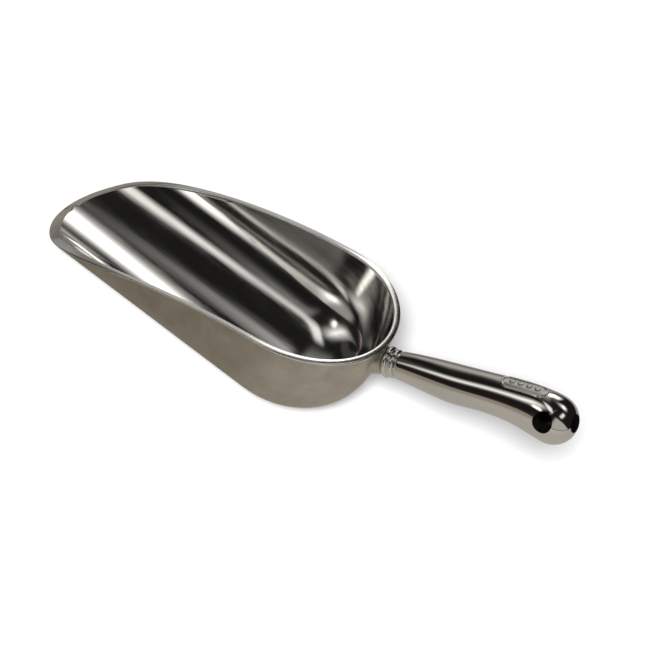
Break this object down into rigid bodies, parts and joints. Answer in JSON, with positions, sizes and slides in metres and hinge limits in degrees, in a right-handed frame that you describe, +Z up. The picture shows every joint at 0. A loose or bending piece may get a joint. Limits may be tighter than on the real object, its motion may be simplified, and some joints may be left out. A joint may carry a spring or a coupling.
{
  "type": "ice scoop",
  "caption": "Cast aluminium bar scoop: trough bowl with an arched rim, a beaded collar and a contoured handle with a hanging hole.",
  "frame": {"origin": "halfway along the scoop, in its mirror plane, on the underside line of the bowl (bottom centre of the bounding box)", "axes": "+Z up, +X along the scoop from the pouring lip towards the handle, +Y to the left when looking along +X"},
  "size_m": [0.1854, 0.0594, 0.0627],
  "materials": {
    "cast_bowl": "satin outside, mirror polished inside and on the rim edge",
    "bright_collar": "polished",
    "polished_handle": "polished",
    "spring_steel": "plain",
    "screw_steel": "plain"
  },
  "bodies": {
    "root": {"bowl": "cast_bowl", "collar": "bright_collar", "handle": "polished_handle", "lock_washer": "spring_steel", "tie_screw": "screw_steel"}
  },
  "joints": []
}
